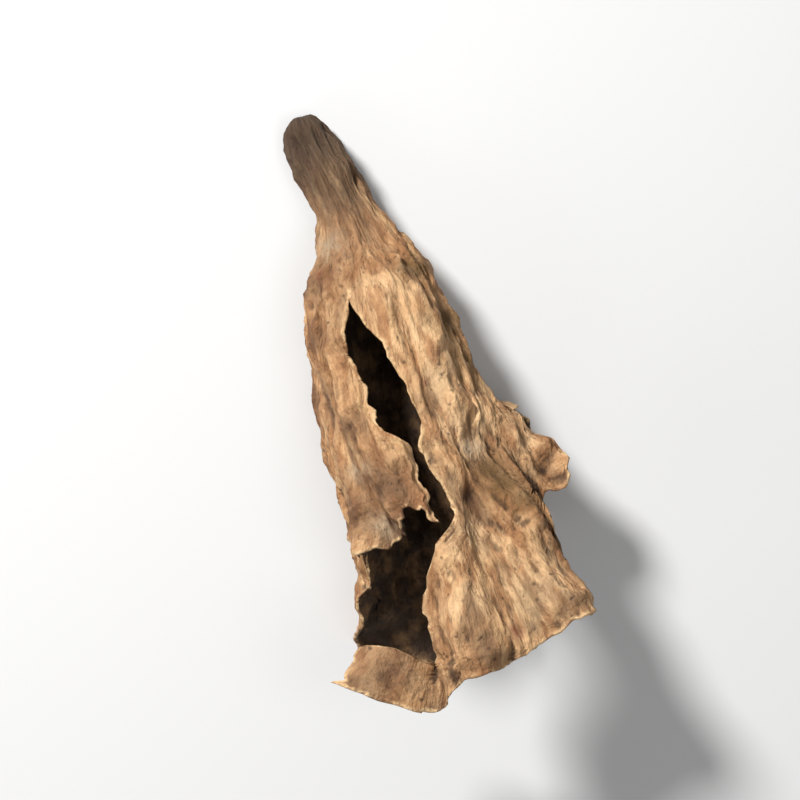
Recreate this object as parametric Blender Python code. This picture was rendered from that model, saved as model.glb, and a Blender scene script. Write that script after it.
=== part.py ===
"""A dried black trumpet mushroom, lying on its side: one hollow horn of thin flesh.

The stem's foot points to +Y and the mouth to -Y. The wall is one sheet, wrapped into a horn. A place
on it is given by two numbers: along, the way from the foot up the wall in millimetres, and side, the
angle round the horn in degrees (0 is +X, 90 is the top, 180 is -X, -90 is the underside).
A tear runs down the top from TEAR_START to the rim, so the sheet has two torn edges there. From the
tear's right edge the sides count down, round the underside, to the tear's left edge.
"""

import bpy
import numpy as np

MM = 0.001

# The horn's own form. Lengths are in millimetres and angles in degrees.
WALL = 0.66
FOOT_ROUNDING = 0.9
STEM_LEAN = 2.0
NECK_LEAN = 19.0
NECK_OPENS = (5.8, 8.6)
NECK_EASES = (10.6, 16.0)
BODY_LEAN = 4.4
BODY_EASES = (13.0, 19.0)
BODY_EASED_SHARE = 0.8
DEPTH_SHARE = 0.8

# The horn's axis: its foot's place, its bends to the side (from, to, how far), and its climb to the mouth.
FOOT_PLACE = (-0.72, 17.73)
AXIS_BENDS = ((-2.0, 9.0, 1.2), (6.0, 18.0, -0.6), (18.0, 30.0, 0.8))
AXIS_HEIGHTS = (-0.50, 6.35)
AXIS_CLIMB = (-14.0, 34.0)

# Flares of the wall: side, half width, added lean, where it starts along the wall, and its reach.
FLARES = (
    (-12, 20, 42, 17.4, 5.4),
    (38, 24, 15, 19.0, 8.0),
    (100, 34, 12, 24.0, 8.0),
    (-60, 32, 26, 20.0, 9.0),
    (-136, 30, 28, 20.0, 8.0),
    (180, 34, -2, 12.0, 6.0),
    (162, 26, 36, 27.0, 5.0),
)

# Waves of the wall: height, how many go round, their turn along it in radians a millimetre, and phase.
FINE_PLEATS = ((0.11, 9, -0.13, 1.1), (0.05, 14, 0.22, 2.0))
SWELLS = ((0.3, 2, 0.33, -1.57),)
RUFFLES = ((0.45, 8, 0.2, -1.57), (0.14, 13, 0.0, -0.67))
RIM_NICKS = ((0.2, 13, 0.0, -1.57), (0.15, 23, 0.0, -0.7))
PLEATS_RISE = (7.0, 18.0)
SWELLS_RISE = (8.0, 14.0)
RUFFLES_WIDTH = 8.0
CALM_SIDE = 190.0
CALM_WIDTH = 40.0
CALM_SHARE = 0.6

# The ridges that run along the horn, and the dent in its right flank.
RIDGES = 7
RIDGE_HEIGHT = 0.36
RIDGE_TURN = 0.05
RIDGE_PHASE = 2.0
RIDGE_ROUNDING = 0.06
DENT_DEPTH = 0.9
DENT_ALONG = (23.6, 2.0)
DENT_SIDE = (52.0, 14.0)

# The rim's reach along the wall, its wide lobes and its notches: side, half width, change. Then its roll.
RIM_REACH = 31.0
RIM_LOBES = (
    (90, 39, 11.2),
    (39, 8, 2.8),
    (-10, 25, -8.2),
    (-106, 36, 4.6),
    (-195, 28, -4.4),
    (-256, 34, -5.2),
)
RIM_NOTCHES = (
    (21, 5.5, -2.4),
    (-1, 5, -1.6),
    (-58, 7, -2.0),
    (-82, 8, -2.0),
    (-160, 7, -1.6),
)
LIP_ROLL = 34.0
LIP_WIDTH = 3.0
LIP_WAVES = 3
LIP_EVENNESS = 0.6

# The tear: the sides of its middle line, its half width, and the pinch where its edges nearly meet.
TEAR_START = 12.2
TEAR_OPENS_OVER = 4.0
TEAR_TOP_SIDE = 110.0
TEAR_MIDDLE_SIDE = 90.0
TEAR_HALF_WIDTH = 15.5
TEAR_PINCH = 22.2
PINCH_WIDTH = 1.2
PINCH_SHARE = 0.8
TEAR_TAIL_SHARE = 0.52
TEAR_TAIL_OVER = 2.0
TEAR_SWING = 36.0
TEAR_SWINGS = (25.2, 30.6)

# The hook: the rim's corner beside the tear, drawn out to the left. Its width is a share of the sheet's.
HOOK_START = 33.0
HOOK_OVER = 7.0
HOOK_TURN = 26.0
HOOK_RETURN = 5.2
HOOK_WIDTH = 0.27
HOOK_FADE = 1.5

# The grid: rows across and columns along the sheet, crowded towards the tear by CROWDING.
ROWS = 37
SPLIT_ROW = 11
HOLLOW_ROW = 5
COLUMNS = 68
CROWDING = 0.05
SUM_STEPS = 24
NEAR_ALONG = 0.02
NEAR_SIDE = 0.4


def smooth(x, low, high):
    """0 below low, 1 above high, and an S-curve between them."""
    t = np.clip((x - low) / (high - low), 0.0, 1.0)
    return t * t * (3 - 2 * t)


def hill(x, centre, width):
    """A round bump of height 1."""
    return np.exp(-(((x - centre) / width) ** 2))


def side_hill(side, centre, width):
    """A round bump of height 1 on the circle of sides."""
    return hill((side - centre + 180) % 360 - 180, 0, width)


def waves(along, side, rows):
    """The sum of the waves in a table."""
    angle = np.radians(side)
    return sum(height * np.cos(count * angle + turn * along + phase) for height, count, turn, phase in rows)


def changes(side, rows):
    """The sum of the changes that the rows of a rim table make."""
    return sum(change * hill(side, centre, width) for centre, width, change in rows)


def rim_reach(side):
    """How far the rim lies along the wall, leaving out its notches."""
    return RIM_REACH + changes(side, RIM_LOBES)


def ragged_reach(side):
    """How far the rim lies along the wall, with its notches and small nicks."""
    return rim_reach(side) + changes(side, RIM_NOTCHES) + waves(0.0, side, RIM_NICKS)


def lean(along, side, reach):
    """The wall's lean away from the horn's axis, in radians."""
    foot = (90 - STEM_LEAN) * hill(along, 0, FOOT_ROUNDING)
    neck = NECK_LEAN * smooth(along, *NECK_OPENS) * (1 - smooth(along, *NECK_EASES))
    body = BODY_LEAN * smooth(along, *NECK_OPENS) * (1 - BODY_EASED_SHARE * smooth(along, *BODY_EASES))
    flare = sum(
        amount * side_hill(side, centre, width) * smooth(along, start, start + length)
        for centre, width, amount, start, length in FLARES
    )
    roll = LIP_EVENNESS + (1 - LIP_EVENNESS) * np.sin(np.radians(LIP_WAVES * side))
    lip = LIP_ROLL * roll * smooth(along - reach, -LIP_WIDTH, 0)
    return np.radians(STEM_LEAN + foot + neck + body + flare + lip)


def folds(along, side, reach):
    """How far the wall stands out of the plain horn: ridges, pleats, a dent and the ruffled rim."""
    turn = RIDGES / 2 * np.radians(side) + RIDGE_TURN * along + RIDGE_PHASE
    ridges = RIDGE_HEIGHT * (0.5 - np.sqrt(np.sin(turn) ** 2 + RIDGE_ROUNDING))
    pleats = (ridges + waves(along, side, FINE_PLEATS)) * smooth(along, *PLEATS_RISE)
    swells = waves(along, side, SWELLS) * smooth(along, *SWELLS_RISE)
    dent = -DENT_DEPTH * hill(along, *DENT_ALONG) * side_hill(side, *DENT_SIDE)
    calm = 1 - CALM_SHARE * side_hill(side, CALM_SIDE, CALM_WIDTH)
    ruffles = waves(along, side, RUFFLES) * calm * smooth(along - reach, -RUFFLES_WIDTH, 0)
    return pleats + swells + dent + ruffles


def horn_point(along, side):
    """The middle of the wall there, in millimetres: x, y, z."""
    reach = rim_reach(side)
    knots, weights = np.polynomial.legendre.leggauss(SUM_STEPS)
    radius = np.zeros_like(along)
    height = np.zeros_like(along)
    for knot, weight in zip(knots, weights):
        slope = lean(along * (knot + 1) / 2, side, reach)
        radius = radius + along * weight / 2 * np.sin(slope)
        height = height + along * weight / 2 * np.cos(slope)
    slope = lean(along, side, reach)
    out = folds(along, side, reach)
    radius = radius + out * np.cos(slope)
    height = height - out * np.sin(slope)
    angle = np.radians(side)
    axis_x = FOOT_PLACE[0] + sum(shift * smooth(height, low, high) for low, high, shift in AXIS_BENDS)
    axis_z = AXIS_HEIGHTS[0] + (AXIS_HEIGHTS[1] - AXIS_HEIGHTS[0]) * smooth(height, *AXIS_CLIMB)
    x = axis_x + radius * np.cos(angle)
    z = axis_z + DEPTH_SHARE * radius * np.sin(angle)
    return np.stack([x, FOOT_PLACE[1] - height, z], axis=-1)


def outward(along, side):
    """The wall's outward normal."""
    onward = horn_point(along + NEAR_ALONG, side) - horn_point(along - NEAR_ALONG, side)
    around = horn_point(along, side + NEAR_SIDE) - horn_point(along, side - NEAR_SIDE)
    normal = np.cross(around, onward)
    return normal / np.maximum(np.linalg.norm(normal, axis=-1, keepdims=True), 1e-9)


def tear_edges(along):
    """The sides of the tear's right and left edges. They are one line up to TEAR_START."""
    pinch = PINCH_SHARE * hill(along, TEAR_PINCH, PINCH_WIDTH)
    tail = TEAR_TAIL_SHARE * smooth(along, TEAR_PINCH, TEAR_PINCH + TEAR_TAIL_OVER)
    opened = smooth(along, TEAR_START, TEAR_START + TEAR_OPENS_OVER)
    half = TEAR_HALF_WIDTH * opened * (1 - pinch - tail)
    middle = TEAR_TOP_SIDE + (TEAR_MIDDLE_SIDE - TEAR_TOP_SIDE) * smooth(along, TEAR_START, TEAR_PINCH)
    return middle - half, middle + half


def sheet(rows, split_row, columns):
    """The sheet's grid: along and side of each row and column. Its first column is the tear's right edge."""
    down = np.linspace(0, 1, rows + 1)[:, None]
    across = np.linspace(0, 1, columns + 1)[None, :]
    across = across - CROWDING * np.sin(2 * np.pi * across)
    split = split_row / rows
    reach = ragged_reach(TEAR_MIDDLE_SIDE - 360 * across)
    torn = np.clip((down - split) / (1 - split), 0, 1)
    along = np.where(down <= split, TEAR_START * down / split, TEAR_START + torn * (reach - TEAR_START))
    right, left = tear_edges(along)
    side = right - across * (right - left + 360)
    near_edge = np.clip(1 - across / HOOK_WIDTH, 0, 1) ** HOOK_FADE
    pull = smooth(along, HOOK_START, HOOK_START + HOOK_OVER) * near_edge
    swing = smooth(along, *TEAR_SWINGS) * near_edge
    return along - HOOK_RETURN * pull, side + HOOK_TURN * pull + TEAR_SWING * swing


def skin_faces(index, inside_out):
    """Two triangles for each cell of the grid, alike on both faces of the wall."""
    faces = []
    for i in range(index.shape[0] - 1):
        for j in range(index.shape[1] - 1):
            a, b, c, d = index[i, j], index[i, j + 1], index[i + 1, j + 1], index[i + 1, j]
            corners = ((a, d, c), (a, c, b)) if inside_out else ((a, c, d), (a, b, c))
            faces += [face for face in corners if len(set(face)) == 3]
    return faces


def edge_faces(outer, inner):
    """The strip between the two faces of the wall, along one of its edges."""
    faces = []
    for k in range(len(outer) - 1):
        faces += [(outer[k], inner[k + 1], outer[k + 1]), (outer[k], inner[k], inner[k + 1])]
    return faces


def wall_points():
    """The points of the wall's outer and inner face, row by row, resting on the floor at z = 0."""
    along, side = sheet(ROWS, SPLIT_ROW, COLUMNS)
    middle, normal = horn_point(along, side), outward(along, side)
    outer = middle + normal * WALL / 2
    inner = middle - normal * WALL / 2
    outer[0] = middle[0] + (0, WALL / 2, 0)
    inner[HOLLOW_ROW] = middle[HOLLOW_ROW].mean(axis=0)
    outer[..., 2] = np.maximum(outer[..., 2], 0)
    inner[..., 2] = np.maximum(inner[..., 2], WALL)
    return outer, inner


def horn_solid():
    """The solid's points in millimetres, and its triangles."""
    outer, inner = wall_points()
    count = (ROWS + 1) * (COLUMNS + 1)
    outside = np.arange(count).reshape(ROWS + 1, COLUMNS + 1)
    outside[: SPLIT_ROW + 1, -1] = outside[: SPLIT_ROW + 1, 0]
    outside[0] = outside[0, 0]
    inside = outside + count
    inside[HOLLOW_ROW] = inside[HOLLOW_ROW, 0]
    inside = inside[HOLLOW_ROW:]

    split = SPLIT_ROW - HOLLOW_ROW
    faces = skin_faces(outside, True) + skin_faces(inside, False)
    faces += edge_faces(outside[-1], inside[-1])
    faces += edge_faces(outside[SPLIT_ROW:, 0], inside[split:, 0])
    faces += edge_faces(inside[split:, -1], outside[SPLIT_ROW:, -1])
    return np.concatenate([outer.reshape(-1, 3), inner.reshape(-1, 3)]), faces


def flesh():
    """Dried flesh: brown, dull and leathery."""
    material = bpy.data.materials.new("dried_flesh")
    material.use_nodes = True
    shader = material.node_tree.nodes["Principled BSDF"]
    shader.inputs["Base Color"].default_value = (0.36, 0.24, 0.14, 1)
    shader.inputs["Roughness"].default_value = 0.8
    shader.inputs["Metallic"].default_value = 0
    return material


def add_trumpet():
    points, faces = horn_solid()
    used = sorted({int(corner) for face in faces for corner in face})
    place = {corner: k for k, corner in enumerate(used)}
    mesh = bpy.data.meshes.new("dried_trumpet")
    triangles = [tuple(place[int(corner)] for corner in face) for face in faces]
    mesh.from_pydata((points[used] * MM).tolist(), [], triangles)
    mesh.materials.append(flesh())
    mesh.shade_smooth()
    mesh.update()
    trumpet = bpy.data.objects.new("dried_trumpet", mesh)
    bpy.context.scene.collection.objects.link(trumpet)


def main():
    for old in list(bpy.data.objects):
        bpy.data.objects.remove(old)
    add_trumpet()


main()
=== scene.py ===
# %% [markdown]
# # A dried black trumpet mushroom
#
# A black trumpet has no cap on a stalk: it is one thin sheet of flesh, rolled into a horn that is
# hollow nearly down to its foot. Drying shrinks the sheet, so it wrinkles lengthwise, its rim crimps
# and curls, and this one has torn open down one side.
#
# The frame below is the measured solid of the same mushroom. It stays where it is, and everything
# made here follows it. Lengths are in millimetres until a mesh is made, which is in metres.

# %% Open the frame and keep its box
import bpy
import numpy as np
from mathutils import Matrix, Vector, noise


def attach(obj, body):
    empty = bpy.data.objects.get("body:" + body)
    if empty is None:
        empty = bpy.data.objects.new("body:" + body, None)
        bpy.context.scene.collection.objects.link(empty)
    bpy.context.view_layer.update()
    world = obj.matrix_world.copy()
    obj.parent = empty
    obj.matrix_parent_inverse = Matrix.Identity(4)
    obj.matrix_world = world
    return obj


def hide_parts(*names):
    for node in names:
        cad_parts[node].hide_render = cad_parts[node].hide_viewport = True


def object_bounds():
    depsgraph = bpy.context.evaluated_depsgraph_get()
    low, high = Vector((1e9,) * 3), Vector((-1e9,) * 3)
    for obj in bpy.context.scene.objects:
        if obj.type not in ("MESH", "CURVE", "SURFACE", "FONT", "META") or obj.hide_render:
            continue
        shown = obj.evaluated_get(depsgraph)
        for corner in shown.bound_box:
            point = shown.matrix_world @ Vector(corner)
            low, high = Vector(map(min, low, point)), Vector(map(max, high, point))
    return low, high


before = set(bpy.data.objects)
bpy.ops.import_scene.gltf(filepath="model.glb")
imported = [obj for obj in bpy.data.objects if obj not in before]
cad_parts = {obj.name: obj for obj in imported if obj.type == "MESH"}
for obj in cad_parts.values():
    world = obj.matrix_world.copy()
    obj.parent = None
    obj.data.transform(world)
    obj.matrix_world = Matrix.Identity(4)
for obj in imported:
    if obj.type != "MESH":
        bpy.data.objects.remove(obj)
cad_low, cad_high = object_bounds()
middle = (cad_low + cad_high) / 2
print("the mushroom's box in mm:", [round(1000 * side, 2) for side in cad_high - cad_low])

# %% [markdown]
# ## The camera
#
# The mushroom lies on its side with its tear on top, and the camera looks down on it, nearly plumb,
# as the eye meets it in the photograph. A long lens from some way off keeps its proportions true. The
# turn round the vertical makes the foot point to the upper left. The standard view keeps the browns
# as warm as they are mixed.

# %% Place the camera
MM = 0.001
CAMERA_TURN = -17.0
CAMERA_LOOKS_DOWN = 86.0
LENS = 180.0
SENSOR = 36.0
FRAME_WIDTH = 46.0
CAMERA_SEES = (0.01, 10.0)


def seen_from(turn, climb):
    """The direction from the mushroom to a point at that turn and climb, in degrees."""
    turn, climb = np.radians(turn), np.radians(climb)
    return Vector((np.sin(turn) * np.cos(climb), -np.cos(turn) * np.cos(climb), np.sin(climb)))


def put(thing, turn, climb, distance, target):
    """Stands a camera or light off the target and turns it to face it."""
    away = seen_from(turn, climb)
    thing.location = target + away * distance * MM
    thing.rotation_mode = "QUATERNION"
    thing.rotation_quaternion = (-away).to_track_quat("-Z", "Y")
    bpy.context.scene.collection.objects.link(thing)


camera = bpy.data.objects.new("camera", bpy.data.cameras.new("camera"))
camera.data.lens, camera.data.sensor_width = LENS, SENSOR
camera.data.clip_start, camera.data.clip_end = CAMERA_SEES
camera_distance = FRAME_WIDTH * LENS / SENSOR
put(camera, CAMERA_TURN, CAMERA_LOOKS_DOWN, camera_distance, middle)
bpy.context.scene.camera = camera
bpy.context.scene.view_settings.view_transform = "Standard"
print(f"the camera stands {camera_distance:.0f} mm off")

# %% [markdown]
# ## The light and the floor
#
# Wrinkles show by their shadows, so one soft lamp stands beyond the mushroom on the upper left, low
# enough to rake across them, as the light falls in the photograph. A weaker one opposite and a pale
# sky fill the shadows. The floor is plain and pale.

# %% Set the lamps and the sky
# Each lamp: its name, turn and climb in degrees, distance and width in millimetres, and watts.
LAMPS = (
    ("key", -152.0, 42.0, 260.0, 64.0, 1.14),
    ("fill", 40.0, 66.0, 420.0, 240.0, 0.42),
    ("side", -62.0, 30.0, 300.0, 120.0, 0.10),
)
SKY = (0.95, 0.97, 1.0)
SKY_STRENGTH = 0.20

for name, turn, climb, distance, size, watts in LAMPS:
    lamp = bpy.data.objects.new(name, bpy.data.lights.new(name, "AREA"))
    lamp.data.shape, lamp.data.size, lamp.data.energy = "DISK", size * MM, watts
    put(lamp, turn, climb, distance, middle)
    print(f"{name} lamp: {size:.0f} mm across, {distance:.0f} mm off")

sky = bpy.data.worlds.new("sky")
sky.use_nodes = True
sky.node_tree.nodes["Background"].inputs["Color"].default_value = (*SKY, 1)
sky.node_tree.nodes["Background"].inputs["Strength"].default_value = SKY_STRENGTH
bpy.context.scene.world = sky

# %% Lay the floor
FLOOR_HALF = 1.5
FLOOR_COLOUR = (0.60, 0.597, 0.59)
FLOOR_ROUGHNESS = 0.95

corners = [(-FLOOR_HALF, -FLOOR_HALF, 0), (FLOOR_HALF, -FLOOR_HALF, 0)]
corners += [(FLOOR_HALF, FLOOR_HALF, 0), (-FLOOR_HALF, FLOOR_HALF, 0)]
floor_mesh = bpy.data.meshes.new("floor")
floor_mesh.from_pydata(corners, [], [(0, 1, 2, 3)])
floor = bpy.data.objects.new("floor", floor_mesh)
bpy.context.scene.collection.objects.link(floor)
paper = bpy.data.materials.new("pale_paper")
paper.use_nodes = True
paper.node_tree.nodes["Principled BSDF"].inputs["Base Color"].default_value = (*FLOOR_COLOUR, 1)
paper.node_tree.nodes["Principled BSDF"].inputs["Roughness"].default_value = FLOOR_ROUGHNESS
floor_mesh.materials.append(paper)
print("floor laid at z = 0")

# %% [markdown]
# ## The horn's own form
#
# Every place on the sheet has two numbers: along, the way from the foot up the wall, and side, the
# angle round the horn (0 is +X, 90 the top, 180 is -X, -90 the underside). The wall leans away from
# the axis by an angle that grows along it, and adding up the lean gives the radius, as a potter's
# profile does. The values are those of the measured solid, so the finished sheet lies on it.

# %% The horn's measures
# The horn's own form. Lengths are in millimetres and angles in degrees.
FOOT_ROUNDING = 0.9
STEM_LEAN = 2.0
NECK_LEAN = 19.0
NECK_OPENS = (5.8, 8.6)
NECK_EASES = (10.6, 16.0)
BODY_LEAN = 4.4
BODY_EASES = (13.0, 19.0)
BODY_EASED_SHARE = 0.8
DEPTH_SHARE = 0.8

# The horn's axis: its foot's place, its bends to the side (from, to, how far), and its climb to the mouth.
FOOT_PLACE = (-0.72, 17.73)
AXIS_BENDS = ((-2.0, 9.0, 1.2), (6.0, 18.0, -0.6), (18.0, 30.0, 0.8))
AXIS_HEIGHTS = (-0.50, 6.35)
AXIS_CLIMB = (-14.0, 34.0)

# Flares of the wall: side, half width, added lean, where it starts along the wall, and its reach.
FLARES = (
    (-12, 20, 42, 17.4, 5.4),
    (38, 24, 15, 19.0, 8.0),
    (100, 34, 12, 24.0, 8.0),
    (-60, 32, 26, 20.0, 9.0),
    (-136, 30, 28, 20.0, 8.0),
    (180, 34, -2, 12.0, 6.0),
    (162, 26, 36, 27.0, 5.0),
)

# Waves of the wall: height, how many go round, their turn along it in radians a millimetre, and phase.
FINE_PLEATS = ((0.11, 9, -0.13, 1.1), (0.05, 14, 0.22, 2.0))
SWELLS = ((0.3, 2, 0.33, -1.57),)
RUFFLES = ((0.45, 8, 0.2, -1.57), (0.14, 13, 0.0, -0.67))
RIM_NICKS = ((0.2, 13, 0.0, -1.57), (0.15, 23, 0.0, -0.7))
PLEATS_RISE = (7.0, 18.0)
SWELLS_RISE = (8.0, 14.0)
RUFFLES_WIDTH = 8.0
CALM_SIDE = 190.0
CALM_WIDTH = 40.0
CALM_SHARE = 0.6

# The ridges that run along the horn, and the dent in its right flank.
RIDGES = 7
RIDGE_HEIGHT = 0.36
RIDGE_TURN = 0.05
RIDGE_PHASE = 2.0
RIDGE_ROUNDING = 0.06
DENT_DEPTH = 0.9
DENT_ALONG = (23.6, 2.0)
DENT_SIDE = (52.0, 14.0)
print("the wall flares in", len(FLARES), "places")

# %% The rim's and the tear's measures
# The rim's reach along the wall, its wide lobes and its notches: side, half width, change. Then its roll.
RIM_REACH = 31.0
RIM_LOBES = (
    (90, 39, 11.2),
    (39, 8, 2.8),
    (-10, 25, -8.2),
    (-106, 36, 4.6),
    (-195, 28, -4.4),
    (-256, 34, -5.2),
)
RIM_NOTCHES = (
    (21, 5.5, -2.4),
    (-1, 5, -1.6),
    (-58, 7, -2.0),
    (-82, 8, -2.0),
    (-160, 7, -1.6),
)
LIP_ROLL = 34.0
LIP_WIDTH = 3.0
LIP_WAVES = 3
LIP_EVENNESS = 0.6

# The tear: the sides of its middle line, its half width, and the pinch where its edges nearly meet.
TEAR_START = 12.2
TEAR_OPENS_OVER = 4.0
TEAR_TOP_SIDE = 110.0
TEAR_MIDDLE_SIDE = 90.0
TEAR_HALF_WIDTH = 15.5
TEAR_PINCH = 22.2
PINCH_WIDTH = 1.2
PINCH_SHARE = 0.8
TEAR_TAIL_SHARE = 0.52
TEAR_TAIL_OVER = 2.0
TEAR_SWING = 36.0
TEAR_SWINGS = (25.2, 30.6)

# The hook: the rim's corner beside the tear, drawn out to the left. Its width is a share of the sheet's.
HOOK_START = 33.0
HOOK_OVER = 7.0
HOOK_TURN = 26.0
HOOK_RETURN = 5.2
HOOK_WIDTH = 0.27
HOOK_FADE = 1.5
print("the tear opens", TEAR_START, "mm from the foot")

# %% Curves that the form is made of


def smooth(x, low, high):
    """0 below low, 1 above high, and an S-curve between them."""
    t = np.clip((x - low) / (high - low), 0.0, 1.0)
    return t * t * (3 - 2 * t)


def hill(x, centre, width):
    """A round bump of height 1."""
    return np.exp(-(((x - centre) / width) ** 2))


def side_hill(side, centre, width):
    """A round bump of height 1 on the circle of sides."""
    return hill((side - centre + 180) % 360 - 180, 0, width)


def waves(along, side, rows):
    """The sum of the waves in a table."""
    angle = np.radians(side)
    return sum(height * np.cos(count * angle + turn * along + phase) for height, count, turn, phase in rows)


def changes(side, rows):
    """The sum of the changes that the rows of a rim table make."""
    return sum(change * hill(side, centre, width) for centre, width, change in rows)


def rim_reach(side):
    """How far the rim lies along the wall, leaving out its notches."""
    return RIM_REACH + changes(side, RIM_LOBES)


print("the rim reaches", [round(float(rim_reach(side)), 1) for side in (0, 90, -90, -180)], "mm")

# %% [markdown]
# The lean has four causes: the rounded foot, the neck where the stem opens into the horn, the slow
# widening of the body, and the flares of the mouth. Last, the lip rolls over within 3 mm of the rim.

# %% The wall's lean and its large folds


def lean(along, side, reach):
    """The wall's lean away from the horn's axis, in radians."""
    foot = (90 - STEM_LEAN) * hill(along, 0, FOOT_ROUNDING)
    neck = NECK_LEAN * smooth(along, *NECK_OPENS) * (1 - smooth(along, *NECK_EASES))
    body = BODY_LEAN * smooth(along, *NECK_OPENS) * (1 - BODY_EASED_SHARE * smooth(along, *BODY_EASES))
    flare = sum(
        amount * side_hill(side, centre, width) * smooth(along, start, start + length)
        for centre, width, amount, start, length in FLARES
    )
    roll = LIP_EVENNESS + (1 - LIP_EVENNESS) * np.sin(np.radians(LIP_WAVES * side))
    lip = LIP_ROLL * roll * smooth(along - reach, -LIP_WIDTH, 0)
    return np.radians(STEM_LEAN + foot + neck + body + flare + lip)


def folds(along, side, reach):
    """How far the wall stands out of the plain horn: ridges, pleats, a dent and the ruffled rim."""
    turn = RIDGES / 2 * np.radians(side) + RIDGE_TURN * along + RIDGE_PHASE
    ridges = RIDGE_HEIGHT * (0.5 - np.sqrt(np.sin(turn) ** 2 + RIDGE_ROUNDING))
    pleats = (ridges + waves(along, side, FINE_PLEATS)) * smooth(along, *PLEATS_RISE)
    swells = waves(along, side, SWELLS) * smooth(along, *SWELLS_RISE)
    dent = -DENT_DEPTH * hill(along, *DENT_ALONG) * side_hill(side, *DENT_SIDE)
    calm = 1 - CALM_SHARE * side_hill(side, CALM_SIDE, CALM_WIDTH)
    ruffles = waves(along, side, RUFFLES) * calm * smooth(along - reach, -RUFFLES_WIDTH, 0)
    return pleats + swells + dent + ruffles


print("the folds stand", round(float(np.ptp(folds(20.0, np.arange(360), RIM_REACH))), 2), "mm deep")

# %% From along and side to a place in space
SUM_STEPS = 24
NEAR_ALONG = 0.02
NEAR_SIDE = 0.4
TINY = 1e-9


def horn_point(along, side):
    """The middle of the wall there, in millimetres: x, y, z."""
    reach = rim_reach(side)
    knots, weights = np.polynomial.legendre.leggauss(SUM_STEPS)
    radius = np.zeros_like(along)
    height = np.zeros_like(along)
    for knot, weight in zip(knots, weights):
        slope = lean(along * (knot + 1) / 2, side, reach)
        radius = radius + along * weight / 2 * np.sin(slope)
        height = height + along * weight / 2 * np.cos(slope)
    slope = lean(along, side, reach)
    out = folds(along, side, reach)
    radius = radius + out * np.cos(slope)
    height = height - out * np.sin(slope)
    angle = np.radians(side)
    axis_x = FOOT_PLACE[0] + sum(shift * smooth(height, low, high) for low, high, shift in AXIS_BENDS)
    axis_z = AXIS_HEIGHTS[0] + (AXIS_HEIGHTS[1] - AXIS_HEIGHTS[0]) * smooth(height, *AXIS_CLIMB)
    x = axis_x + radius * np.cos(angle)
    z = axis_z + DEPTH_SHARE * radius * np.sin(angle)
    return np.stack([x, FOOT_PLACE[1] - height, z], axis=-1)


def outward(along, side):
    """The wall's outward normal."""
    onward = horn_point(along + NEAR_ALONG, side) - horn_point(along - NEAR_ALONG, side)
    around = horn_point(along, side + NEAR_SIDE) - horn_point(along, side - NEAR_SIDE)
    normal = np.cross(around, onward)
    return normal / np.maximum(np.linalg.norm(normal, axis=-1, keepdims=True), TINY)


print("the stem's top is at", horn_point(np.array([6.0]), np.array([90.0])).round(2)[0], "mm")

# %% [markdown]
# ## Noise that closes round the horn
#
# Real flesh is irregular, so its small forms come from noise. Blender's noise is a function of a
# place in space. The places used are on a plain round horn that widens as the sheet does, so a
# pattern closes round it without a seam and keeps its size. Dividing the way along it by a stretch
# makes the pattern run lengthwise, as the fibres do.

# %% Sample a pattern over the sheet
STEM_ROUND = 2.2
BODY_GROWTH = 1.4
BODY_GROWS = (8, 14)
RIM_GROWTH = 2.6
RIM_GROWS = (18, 34)
CELL_WALL = 0.22


def unrolled(along, side, stretch, size, shift=0.0):
    """Places on a plain round horn for the noise: a pattern of that size in mm, drawn out lengthwise."""
    angle = np.radians(side)
    radius = STEM_ROUND + BODY_GROWTH * smooth(along, *BODY_GROWS) + RIM_GROWTH * smooth(along, *RIM_GROWS)
    place = [radius * np.cos(angle), radius * np.sin(angle), along / stretch]
    return np.stack(np.broadcast_arrays(*place), axis=-1) / size + shift


def soft_noise(places):
    """Smooth noise between about -1 and 1."""
    flat = [noise.noise(place) for place in places.reshape(-1, 3).tolist()]
    return np.array(flat).reshape(places.shape[:-1])


def rough_noise(places, octaves):
    """Noise with finer noise on it."""
    flat = [noise.turbulence(place, octaves, False) for place in places.reshape(-1, 3).tolist()]
    return np.array(flat).reshape(places.shape[:-1])


def creased(values):
    """Smooth noise turned into sharp ridges, 1 high, where it passes through 0."""
    return 1 - 2 * np.abs(values)


def cell_walls(places):
    """1 on the walls between the cells of a crackle pattern, falling to 0 inside them."""
    flat = [noise.voronoi(place)[0][:2] for place in places.reshape(-1, 3).tolist()]
    first, second = np.array(flat).reshape(*places.shape[:-1], 2).transpose(2, *range(places.ndim - 1))
    return hill(second - first, 0, CELL_WALL)


print("noise at the foot:", round(float(soft_noise(unrolled(np.array([0.5]), 0.0, 2.0, 1.0))[0]), 3))

# %% [markdown]
# ## The sheet, with its torn edges
#
# The sheet is a grid of rows across and columns along. Up to the tear its first and last columns are
# one, and from there they part. A torn edge is never a clean line, so noise moves the tear's two
# edges by a few tenths of a millimetre, and bites small nicks and splits out of the rim. The rim's two
# furthest tips are trimmed a little first, so that the fray doesn't carry them out past the solid.

# %% Lay out the grid of the sheet
# The tear starts at SPLIT_ROW, the hollow at HOLLOW_ROW, and CROWDING sets columns closer by the tear.
ROWS = 142
SPLIT_ROW = 46
HOLLOW_ROW = 22
COLUMNS = 332
CROWDING = 0.05
FRAY_SIDE = 3.6
FRAY_SIZES = (1.1, 1.0)
FRAY_OCTAVES = 5
FRAY_REACH = 0.60
NICK_SIZE = 1.3
NICK_OCTAVES = 4
SPLIT_DEPTH = 1.3
SPLIT_SIZE = 1.0
SPLIT_SHIFT = 5.0
SPLIT_MARKS = (0.3, 0.55)
TIPS = (90, 8)
TIP_WIDTH = 10
TIP_TRIM = 0.40


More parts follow.
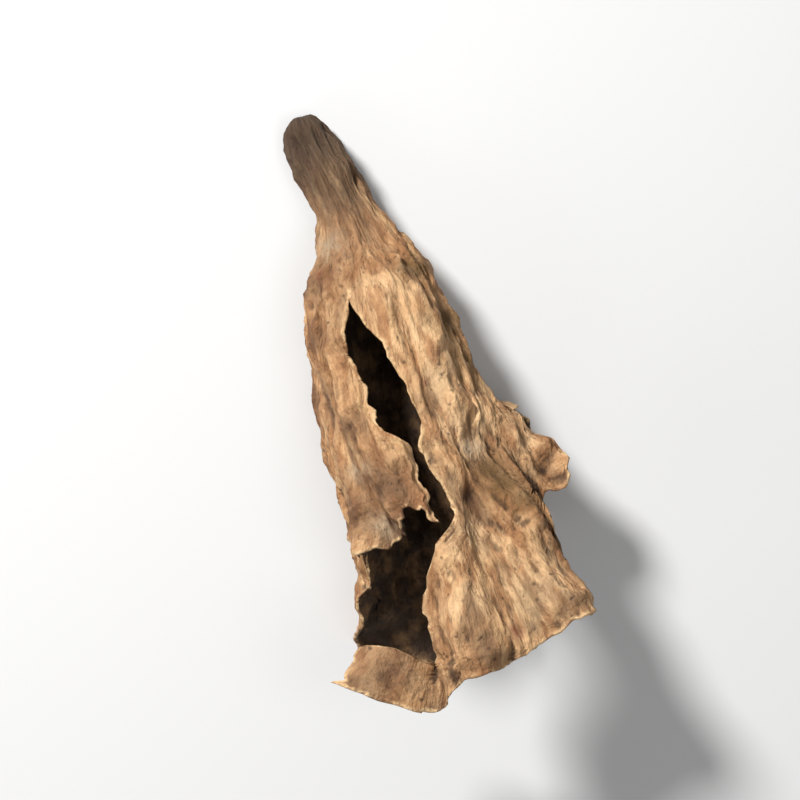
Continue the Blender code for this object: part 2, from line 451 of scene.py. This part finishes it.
def tear_edges(along):
    """The sides of the tear's right and left edges. They are one line up to TEAR_START."""
    pinch = PINCH_SHARE * hill(along, TEAR_PINCH, PINCH_WIDTH)
    tail = TEAR_TAIL_SHARE * smooth(along, TEAR_PINCH, TEAR_PINCH + TEAR_TAIL_OVER)
    opened = smooth(along, TEAR_START, TEAR_START + TEAR_OPENS_OVER)
    half = TEAR_HALF_WIDTH * opened * (1 - pinch - tail)
    centre = TEAR_TOP_SIDE + (TEAR_MIDDLE_SIDE - TEAR_TOP_SIDE) * smooth(along, TEAR_START, TEAR_PINCH)
    right_fray, left_fray = (
        FRAY_SIDE * opened * rough_noise(unrolled(along, place, 1.0, size), FRAY_OCTAVES)
        for place, size in zip((0.0, 180.0), FRAY_SIZES)
    )
    return centre - half + right_fray, centre + half + left_fray


def ragged_reach(side):
    """How far the rim lies along the wall, with its notches, nicks and splits."""
    fray = FRAY_REACH * rough_noise(unrolled(RIM_REACH, side, 1.0, NICK_SIZE), NICK_OCTAVES)
    trims = -TIP_TRIM * sum(side_hill(side, tip, TIP_WIDTH) for tip in TIPS)
    weak_places = soft_noise(unrolled(RIM_REACH, side, 1.0, SPLIT_SIZE, SPLIT_SHIFT))
    splits = -SPLIT_DEPTH * smooth(weak_places, *SPLIT_MARKS)
    notches = changes(side, RIM_NOTCHES) + waves(0.0, side, RIM_NICKS)
    return rim_reach(side) + notches + fray + splits + trims


down = np.linspace(0, 1, ROWS + 1)[:, None]
across = np.linspace(0, 1, COLUMNS + 1)[None, :]
across = across - CROWDING * np.sin(2 * np.pi * across)
split = SPLIT_ROW / ROWS
reach = ragged_reach(TEAR_MIDDLE_SIDE - 360 * across)
torn = np.clip((down - split) / (1 - split), 0, 1)
along = np.where(down <= split, TEAR_START * down / split, TEAR_START + torn * (reach - TEAR_START))
right, left = tear_edges(along)
side = right - across * (right - left + 360)
print("the sheet has", along.size, "places on each face")

# %% Draw the rim's corner out into the hook
near_edge = np.clip(1 - across / HOOK_WIDTH, 0, 1) ** HOOK_FADE
pull = smooth(along, HOOK_START, HOOK_START + HOOK_OVER) * near_edge
side = side + HOOK_TURN * pull + TEAR_SWING * smooth(along, *TEAR_SWINGS) * near_edge
along = along - HOOK_RETURN * pull
sheet = horn_point(along, side)
normal = outward(along, side)
print("the hook's tip is at", sheet[-1, 0].round(1), "mm")

# %% Measure how far each place is from a torn edge


def walked(points, axis):
    """The way walked over the points along one direction of the grid, in millimetres."""
    steps = np.linalg.norm(np.diff(points, axis=axis), axis=-1)
    start = np.zeros_like(np.take(steps, [0], axis=axis))
    return np.cumsum(np.concatenate([start, steps], axis=axis), axis=axis)


crosswise = walked(sheet, 1)
to_tear = np.minimum(crosswise, crosswise[:, -1:] - crosswise)
to_tear = np.hypot(to_tear, np.maximum(TEAR_START - along, 0))
lengthwise = walked(sheet, 0)
to_rim = lengthwise[-1:] - lengthwise
to_edge = np.minimum(to_tear, to_rim)
print("the sheet is up to", round(float(crosswise[:, -1].max()), 1), "mm wide")

# %% [markdown]
# ## The wrinkles
#
# Drying shrinks the soft flesh between tougher strands, so the strands stand out as a net of thin
# ridges drawn out lengthwise, with hollows between them. Five patterns make most of it: wide buckles of
# the whole sheet, the net of strands, furrows that run along the horn, fine crinkles across them, and
# deep puckers where the mouth flares to the right. The foot is lumpy, and the thin lip curls. A
# sculpting brush could make all this too, but moving the points by a rule keeps it the same each run.

# %% Lay out the patterns of the wrinkles
# Each pattern: how much it drifts along and sways sideways with the wander, how far it is drawn out
# lengthwise, its size in millimetres, and where in the noise it is read.
PATTERNS = {
    "buckles": (0, 0, 1.6, 2.2, 7.0),
    "strands": (1, 9, 2.6, 1.55, 0.0),
    "small strands": (0, -7, 2.2, 0.75, 3.0),
    "furrows": (0, 6, 5.0, 0.8, 1.0),
    "fine furrows": (0, 4, 6.0, 0.33, 8.0),
    "crinkles": (0, 0, 0.5, 0.5, 4.0),
    "foot lumps": (0, 0, 1.0, 1.3, 6.0),
    "curl": (0, 0, 1.0, 2.6, 11.0),
}
WANDER = 0.8
WANDER_STRETCH = 1.5
WANDER_SIZE = 2.4
PUCKER_STEP = 14.0
PUCKER_SWAY = 14

wander = WANDER * soft_noise(unrolled(along, side, WANDER_STRETCH, WANDER_SIZE))


def pattern(name):
    """The places in the noise where that pattern is read, one for each place of the sheet."""
    drift, sway, stretch, size, shift = PATTERNS[name]
    return unrolled(along + drift * wander, side + sway * wander, stretch, size, shift)


buckle = soft_noise(pattern("buckles"))
strands = cell_walls(pattern("strands"))
small_strands = cell_walls(pattern("small strands"))
furrows = creased(soft_noise(pattern("furrows")))
fine_furrows = creased(soft_noise(pattern("fine furrows")))
crinkles = creased(soft_noise(pattern("crinkles")))
puckers = creased(np.sin(np.radians(180 / PUCKER_STEP * (side + PUCKER_SWAY * wander))))
print("the strands cover", round(float((strands > 0.5).mean()), 2), "of the sheet")

# %% Add the wrinkles up
# How high each pattern stands, in millimetres. The small strands stand a share of the others' height,
# and the level between ridge and hollow is a share of it too.
BUCKLE = 0.40
STRAND = 0.27
SMALL_STRAND_SHARE = 0.45
STRAND_LEVEL = 0.4
FURROW = 0.22
FINE_FURROW = 0.07
CRINKLE = 0.06
PUCKER = 0.30
CURL = 0.50
FOOT_LUMPS = 0.45

# Where the patterns lie. Crinkles show on the raised buckles, and puckers round one middle (with its
# half width). The curl keeps to the edge. The stem has a smaller share of them all, growing to the
# whole along STEM_PART, the lumps fade out above the foot, and the foot's very tip stays smooth.
CRINKLED_BUCKLES = (-0.2, 0.3)
PUCKER_ALONG = (27.0, 4.0)
PUCKER_SIDE = (28.0, 30.0)
CURL_WIDTH = 0.9
STEM_SHARE = 0.75
STEM_PART = (3, 12)
FOOT_LUMPS_FADE = (1.0, 7.0)
FOOT_TIP = 1.6

foot_tip = smooth(along, 0.0, FOOT_TIP)
grown = (STEM_SHARE + (1 - STEM_SHARE) * smooth(along, *STEM_PART)) * foot_tip
lumps = FOOT_LUMPS * soft_noise(pattern("foot lumps")) * (1 - smooth(along, *FOOT_LUMPS_FADE)) * foot_tip
curl = CURL * soft_noise(pattern("curl")) * hill(to_edge, 0, CURL_WIDTH)
relief = STRAND * (strands + SMALL_STRAND_SHARE * small_strands - STRAND_LEVEL) + FURROW * furrows
relief = relief + FINE_FURROW * fine_furrows + CRINKLE * crinkles * smooth(buckle, *CRINKLED_BUCKLES)
relief = relief + PUCKER * puckers * hill(along, *PUCKER_ALONG) * side_hill(side, *PUCKER_SIDE)
moved = (BUCKLE * buckle + relief) * grown + curl + lumps
print("wrinkles from", moved.min().round(2), "to", moved.max().round(2), "mm")

# %% Find the hollows between the wrinkles
BLUR_STEPS = 5


def smoothed(heights):
    """The heights, each evened out with its neighbours across and along."""
    for _ in range(BLUR_STEPS):
        padded = np.pad(heights, 1, mode="edge")
        heights = (padded[:-2, 1:-1] + padded[2:, 1:-1] + padded[1:-1, :-2] + padded[1:-1, 2:]) / 4
    return heights


# The finish paints shade into these hollows, darker where they are deeper.
all_relief = relief + BUCKLE * buckle
hollows = smoothed(all_relief) - all_relief
print("the hollows are up to", hollows.max().round(2), "mm deep")

# %% [markdown]
# ## The two faces of the wall
#
# The wall is about half a millimetre thick and thins out to a feather edge at the tear and the rim.
# The outer face keeps the measured solid's own place. Both faces get a grain of their own: the
# outer one fine and fibrous, the inner one scaly. The hollow narrows to a point inside the stem, about
# 6 mm from the foot, and below it the stem is solid.

# %% Give the wall its thickness
OUTER_HALF = 0.33
INNER_HALF = 0.15
EDGE_HALF = 0.09
THINS_OVER = 1.5
GRAIN = 0.05
GRAIN_PATTERN = (3.0, 0.4)
GRAIN_OCTAVES = 3
SCALES = 0.12
SCALES_PATTERN = (1.3, 0.6, 5.0)
SCALES_OCTAVES = 4

full = smooth(to_edge, 0.0, THINS_OVER)[..., None]
grain = GRAIN * rough_noise(unrolled(along, side, *GRAIN_PATTERN), GRAIN_OCTAVES)
scales = SCALES * rough_noise(unrolled(along, side, *SCALES_PATTERN), SCALES_OCTAVES)
wall = sheet + normal * moved[..., None]
outer = wall + normal * (EDGE_HALF + (OUTER_HALF - EDGE_HALF) * full + (grain * grown)[..., None])
inner = wall - normal * (EDGE_HALF + (INNER_HALF - EDGE_HALF) * full + (scales * grown)[..., None] * full)
outer[0] = wall[0] + (0, OUTER_HALF, 0)
inner[HOLLOW_ROW] = wall[HOLLOW_ROW].mean(axis=0)
outer[..., 2] = np.maximum(outer[..., 2], 0)
inner[..., 2] = np.maximum(inner[..., 2], 2 * EDGE_HALF)
edge = (outer + inner) / 2
print("the outer face spans", np.ptp(outer.reshape(-1, 3), axis=0).round(2), "mm")

# %% [markdown]
# ## From points to a mesh
#
# Each face of the wall is a grid of four-cornered cells. Round the tear and the rim a strip of two
# cells joins them, through a middle line pushed a little outwards, so that the edge is rounded.

# %% Number the points and join them
count = along.size
outside = np.arange(count).reshape(along.shape)
outside[: SPLIT_ROW + 1, -1] = outside[: SPLIT_ROW + 1, 0]
outside[0] = outside[0, 0]
inside = outside + count
inside[HOLLOW_ROW] = inside[HOLLOW_ROW, 0]
between = outside + 2 * count


def cells(index, turned):
    """The grid's cells, with corners that coincide left out."""
    a, b, c, d = index[:-1, :-1], index[:-1, 1:], index[1:, 1:], index[1:, :-1]
    order = (d, c, b, a) if turned else (a, b, c, d)
    corners = np.stack(order, axis=-1).reshape(-1, 4).tolist()
    return [list(dict.fromkeys(cell)) for cell in corners if len(set(cell)) > 2]


def rounded_edge(line, turned):
    """Two strips of cells, from the outer face over the edge's middle to the inner face."""
    return cells(np.stack([line(outside), line(between), line(inside)]), turned)


faces = cells(outside, True) + cells(inside[HOLLOW_ROW:], False)
faces += rounded_edge(lambda index: index[-1], True)
faces += rounded_edge(lambda index: index[SPLIT_ROW:, 0], True)
faces += rounded_edge(lambda index: index[SPLIT_ROW:, -1], False)
print("the sheet has", len(faces), "cells")

# %% Push the edge's middle line outwards
EDGE_ROUND = 0.07


def push(line, neighbour):
    """Moves a line of edge points away from its neighbours in the sheet."""
    away = line - neighbour
    line += EDGE_ROUND * away / np.maximum(np.linalg.norm(away, axis=-1, keepdims=True), TINY)


push(edge[-1], wall[-2])
push(edge[SPLIT_ROW + 1:, 0], wall[SPLIT_ROW + 1:, 1])
push(edge[SPLIT_ROW + 1:, -1], wall[SPLIT_ROW + 1:, -2])
points = np.concatenate([outer.reshape(-1, 3), inner.reshape(-1, 3), edge.reshape(-1, 3)])
used = np.unique(np.concatenate([np.array(face) for face in faces]))
place = np.zeros(3 * count, int)
place[used] = np.arange(used.size)
print("the mesh has", used.size, "points")

# %% Make the mesh
mesh = bpy.data.meshes.new("dried_trumpet_flesh")
mesh.from_pydata((points[used] * MM).tolist(), [], [place[face].tolist() for face in faces])
mesh.shade_smooth()
trumpet = bpy.data.objects.new("dried_trumpet_flesh", mesh)
bpy.context.scene.collection.objects.link(trumpet)
print("triangles:", sum(len(face) - 2 for face in faces))

# %% [markdown]
# ## What the finish needs to know
#
# The finish differs from place to place: tan outside, black-brown inside, pale where it broke, dark
# at the foot, with painted shade in the hollows between the wrinkles. Each such map is a number for
# every point of the mesh, which the material reads by name. One more map keeps the places on the
# plain horn, for streaks that follow the fibres.

# %% Store the maps on the mesh
RELIEF_SHOWS = 1.5
FOLDS_SHOW = 0.7
EDGE_IS_INSIDE = 0.45
EDGE_BAND = 0.3


def store(name, outer_map, inner_map, edge_map):
    """Keeps one number for each point of the mesh: one map for each face and one for the edge."""
    maps = [np.broadcast_to(one, along.shape).reshape(-1) for one in (outer_map, inner_map, edge_map)]
    attribute = mesh.attributes.new(name, "FLOAT", "POINT")
    attribute.data.foreach_set("value", np.concatenate(maps)[used].astype(np.float32))


# The raised and hollow maps carry painted shade: the finish darkens the low places between the wrinkles.
raised = RELIEF_SHOWS * relief + FOLDS_SHOW * folds(along, side, rim_reach(side))
raised = np.clip(0.5 + raised, 0, 1)
store("inside", 0.0, 1.0, EDGE_IS_INSIDE)
store("along", along, along, along)
store("raised", raised, 1 - raised, 0.5)
store("hollow", hollows, -hollows, 0.0)
store("edge", *[np.exp(-to_edge / EDGE_BAND)] * 3)
fibre = unrolled(along, side, 1.0, 1.0).reshape(-1, 3)
attribute = mesh.attributes.new("fibre", "FLOAT_VECTOR", "POINT")
attribute.data.foreach_set("vector", np.concatenate([fibre] * 3)[used].astype(np.float32).reshape(-1))
print("maps:", [one.name for one in mesh.attributes if not one.name.startswith(".")])

# %% [markdown]
# A few patches are laid on top: painted highlights on the strip beside the tear and on lit folds lower
# down, olive-brown painted shade on the flank turned away from the lamp and in a fold where the mouth
# flares, brown painted shade on the left strip, the lower flap and the hook, a grey bloom, and some
# rust-red specks. Each is a soft round patch at a named place on top, and the streaks and mottles
# break it up.

# %% Mark the patches
# Each spot: its x and y on top of the mushroom and its half width, in millimetres.
PATCHES = {
    # Painted highlight on the lit strip beside the tear and on lit folds.
    "painted_highlight": (
        (1.0, 5.8, 1.2), (1.7, 3.2, 1.2), (2.4, 0.4, 1.2), (2.8, -2.4, 1.3),
        (6.3, -3.8, 1.3), (1.3, -9.4, 1.4), (-0.2, -12.6, 0.9), (3.4, -12.7, 1.8),
    ),
    # Painted shade on the left strip, the lower flap and under the hook.
    "painted_shade": (
        (-2.4, 7.8, 1.5), (-3.4, 4.9, 1.3), (-4.2, 1.4, 1.2), (-2.9, -0.8, 0.8),
        (-2.4, -4.7, 1.5), (-4.3, -5.7, 1.8), (-2.2, -7.0, 1.3), (-5.0, -14.6, 2.0),
    ),
    # Olive-brown painted shade on the flank turned away from the lamp and in a dark fold.
    "olive_painted_shade": (
        (2.6, 6.8, 0.9), (3.6, 3.6, 1.0), (4.3, 0.8, 1.0),
        (3.5, -5.6, 1.0), (4.0, -6.7, 1.1), (4.8, -7.9, 0.9),
    ),
    "grey": ((2.9, -4.0, 0.7), (-3.0, -6.9, 0.7), (-1.0, 9.6, 0.8), (-3.2, -3.4, 0.6)),
    "rust": ((-1.6, 7.9, 0.42), (1.5, 0.3, 0.33), (1.4, -0.4, 0.28), (2.3, -14.7, 0.45), (6.6, -1.6, 0.3)),
}

for name, spots in PATCHES.items():
    spread = np.zeros_like(along)
    for x, y, size in spots:
        away = np.hypot(sheet[..., 0] - x, sheet[..., 1] - y)
        spread = np.maximum(spread, hill(away, 0, size) * (normal[..., 2] > 0))
    store(name, spread, 0.0, spread)
    print(name, "patches:", len(spots))

# %% [markdown]
# ## The finish of the flesh
#
# One material covers the whole sheet, because it is one flesh. Small helpers below name the node
# steps, so that the finish reads as a recipe: pick a colour by a map, lay another over it, repeat.

# %% Helpers for the recipe
MIX_SOCKETS = (0, 6, 7)
MIX_RESULT = 2

flesh = bpy.data.materials.new("dried_flesh_finish")
flesh.use_nodes = True
nodes, links = flesh.node_tree.nodes, flesh.node_tree.links
skin = nodes["Principled BSDF"]


def feed(socket, value):
    """Links a socket to another node's output, or sets its own value."""
    if isinstance(value, bpy.types.NodeSocket):
        links.new(value, socket)
    else:
        socket.default_value = value


def colour(red, green, blue):
    """A colour read as 0 to 255 on a screen, as light for Blender."""
    return (*[float(((c / 255 + 0.055) / 1.055) ** 2.4) for c in (red, green, blue)], 1.0)


def read_map(name, output="Fac"):
    """One of the mesh's maps, by its name."""
    reader = nodes.new("ShaderNodeAttribute")
    reader.attribute_name = name
    return reader.outputs[output]


def combine(operation, first, second):
    """Adds or multiplies two values."""
    step = nodes.new("ShaderNodeMath")
    step.operation = operation
    feed(step.inputs[0], first)
    feed(step.inputs[1], second)
    return step.outputs[0]


def lay_over(amount, below, above):
    """Lays the colour above over the colour below, by an amount from 0 to 1."""
    step = nodes.new("ShaderNodeMix")
    step.data_type = "RGBA"
    for socket, value in zip(MIX_SOCKETS, (amount, below, above)):
        feed(step.inputs[socket], value)
    return step.outputs[MIX_RESULT]


def between_marks(value, low, high, start=0.0, end=1.0):
    """Turns a value between two marks into an even run from start to end."""
    step = nodes.new("ShaderNodeMapRange")
    step.interpolation_type = "SMOOTHSTEP"
    for socket, number in zip(step.inputs, (value, low, high, start, end)):
        feed(socket, number)
    return step.outputs[0]


print("the recipe has its helpers")

# %% Patterns that run with the fibres


def along_fibres(stretch, shift=0.0):
    """The places on the plain horn, drawn out lengthwise by that much."""
    step = nodes.new("ShaderNodeMapping")
    step.inputs["Scale"].default_value = (1, 1, 1 / stretch)
    step.inputs["Location"].default_value = (shift, shift, shift)
    feed(step.inputs["Vector"], read_map("fibre", "Vector"))
    return step.outputs[0]


def clouds(places, size, detail=5.0, rough=0.6):
    """Cloudy noise of about that size in millimetres."""
    step = nodes.new("ShaderNodeTexNoise")
    feed(step.inputs["Vector"], places)
    feed(step.inputs["Scale"], 1 / size)
    feed(step.inputs["Detail"], detail)
    feed(step.inputs["Roughness"], rough)
    return step.outputs["Fac"]


def dots(places, size):
    """The distance from the middle of scattered dots of about that size in millimetres."""
    step = nodes.new("ShaderNodeTexVoronoi")
    feed(step.inputs["Vector"], places)
    feed(step.inputs["Scale"], 1 / size)
    return step.outputs["Distance"]


streaks = clouds(along_fibres(6.0), 0.5)
thin_streaks = clouds(along_fibres(9.0, 3.0), 0.16)
blotches = clouds(along_fibres(1.8, 4.0), 2.2)
broad = clouds(along_fibres(2.5, 12.0), 4.0)
mottle = clouds(along_fibres(1.6, 7.0), 0.55, 6.0, 0.7)
fine = clouds(along_fibres(2.5, 9.0), 0.14)
specks = dots(along_fibres(1.6, 2.0), 0.55)
print("patterns: streaks, blotches, mottle, fine fibres and specks")

# %% [markdown]
# ### The outer skin
#
# The dried skin is tan, with lengthwise streaks and grey-brown blotches. Brown and dark brown are
# painted into the hollows between the wrinkles as painted shade, so the strands stand lighter. The
# young skin by the foot stays dark and dusty.

# %% Colour the outer skin
PAINTED_HIGHLIGHT_TAN = colour(226, 188, 142)
LIGHT_TAN = colour(216, 174, 126)
TAN = colour(180, 134, 90)
DEEP_TAN = colour(146, 102, 66)
BROWN = colour(90, 60, 38)
DARK_BROWN = colour(58, 39, 26)
GREY_BROWN = colour(112, 90, 66)
OLIVE_PAINTED_SHADE = colour(98, 72, 38)
GREY_BLOOM = colour(168, 146, 118)
RUST = colour(110, 44, 24)
SPECK = colour(50, 34, 23)
FOOT_BROWN = colour(58, 45, 35)

# Each coat: the pattern or map it follows, the marks between which it comes in, how much of it shows
# at most, and its colour.
COATS = (
    (mottle, 0.40, 0.60, 0.60, TAN),
    (broad, 0.46, 0.66, 0.70, DEEP_TAN),
    # Painted shade: brown where the wall lies low between the wrinkles, so the ridges stay lighter.
    (read_map("raised"), 0.60, 0.15, 0.75, BROWN),
    (blotches, 0.50, 0.68, 0.65, GREY_BROWN),
    (thin_streaks, 0.52, 0.68, 0.50, BROWN),
    (fine, 0.58, 0.74, 0.35, DARK_BROWN),
    # Painted shade: dark brown in the furrows, where the wall lies below its neighbours.
    (read_map("hollow"), 0.03, 0.15, 0.75, DARK_BROWN),
)

outer_skin = lay_over(between_marks(streaks, 0.38, 0.62), DEEP_TAN, LIGHT_TAN)
for guide, low_mark, high_mark, most, coat in COATS:
    outer_skin = lay_over(between_marks(guide, low_mark, high_mark, 0.0, most), outer_skin, coat)
print("ground coats:", 1 + len(COATS))

# %% Lay the patches over it
# Each patch: its map, how strongly it shows, and its colour. Streaks and mottles break it up.
PATCH_COATS = (
    # Painted highlight: light tan where the strips and folds face the light.
    ("painted_highlight", between_marks(streaks, 0.42, 0.58, 0.15, 0.7), PAINTED_HIGHLIGHT_TAN),
    # Painted shade: brown on the left strip, the lower flap and under the hook.
    ("painted_shade", between_marks(mottle, 0.35, 0.60, 0.95, 0.62), BROWN),
    # Painted shade: olive-brown on the turned-away flank and in a dark fold.
    ("olive_painted_shade", 0.90, OLIVE_PAINTED_SHADE),
    ("grey", between_marks(mottle, 0.30, 0.60), GREY_BLOOM),
    ("rust", between_marks(streaks, 0.40, 0.60), RUST),
)

for name, strength, coat in PATCH_COATS:
    outer_skin = lay_over(combine("MULTIPLY", read_map(name), strength), outer_skin, coat)
outer_skin = lay_over(between_marks(specks, 0.16, 0.06, 0.0, 0.6), outer_skin, SPECK)
outer_skin = lay_over(between_marks(read_map("along"), 10.5, 2.0, 0.0, 0.9), outer_skin, FOOT_BROWN)
print("patches laid:", len(PATCH_COATS), "kinds, the specks and the dusty foot")

# %% [markdown]
# ### The inside and the torn edges
#
# The inside is black-brown and finely scaly. Where the wall broke or dried thin, its edge shows the
# paler flesh. The middle of the edge counts as nearly half inside, so the two colours meet softly.

# %% Colour the inside and the edges
INSIDE_BLACK = colour(66, 49, 35)
INSIDE_BROWN = colour(134, 101, 68)
TORN_FLESH = colour(214, 178, 132)

inner_mottle = clouds(along_fibres(1.5, 6.0), 0.8)
inner_skin = lay_over(between_marks(inner_mottle, 0.40, 0.70), INSIDE_BLACK, INSIDE_BROWN)
inside = between_marks(read_map("inside"), 0.35, 0.75)
whole_skin = lay_over(inside, outer_skin, inner_skin)
edge_amount = between_marks(read_map("edge"), 0.35, 0.95)
edge_amount = combine("MULTIPLY", edge_amount, between_marks(mottle, 0.42, 0.58))
whole_skin = lay_over(edge_amount, whole_skin, TORN_FLESH)
feed(skin.inputs["Base Color"], whole_skin)
print("the inside is laid under the edges")

# %% [markdown]
# ### The surface
#
# Dry flesh is dull. A little bump from the fibres and specks catches the light between the wrinkles
# that the mesh already has.

# %% Give the surface its dullness and grain
FIBRE_DEPTH = 0.20
MOTTLE_SHARE = 0.8
SHEEN = 0.35
ROUGHEST = 0.90
SMOOTHEST = 0.66

skin.inputs["Specular IOR Level"].default_value = SHEEN
feed(skin.inputs["Roughness"], between_marks(streaks, 0.3, 0.7, ROUGHEST, SMOOTHEST))
fibre_bump = nodes.new("ShaderNodeBump")
grain_height = combine("ADD", thin_streaks, combine("MULTIPLY", mottle, MOTTLE_SHARE))
feed(fibre_bump.inputs["Height"], combine("ADD", grain_height, fine))
fibre_bump.inputs["Distance"].default_value = FIBRE_DEPTH * MM
fibre_bump.inputs["Strength"].default_value = 1.0
feed(skin.inputs["Normal"], fibre_bump.outputs["Normal"])
mesh.materials.append(flesh)
print("the grain is", FIBRE_DEPTH, "mm deep")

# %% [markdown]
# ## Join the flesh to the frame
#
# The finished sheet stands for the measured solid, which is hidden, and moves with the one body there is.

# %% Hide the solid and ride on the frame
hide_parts("dried_trumpet")
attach(trumpet, "root")
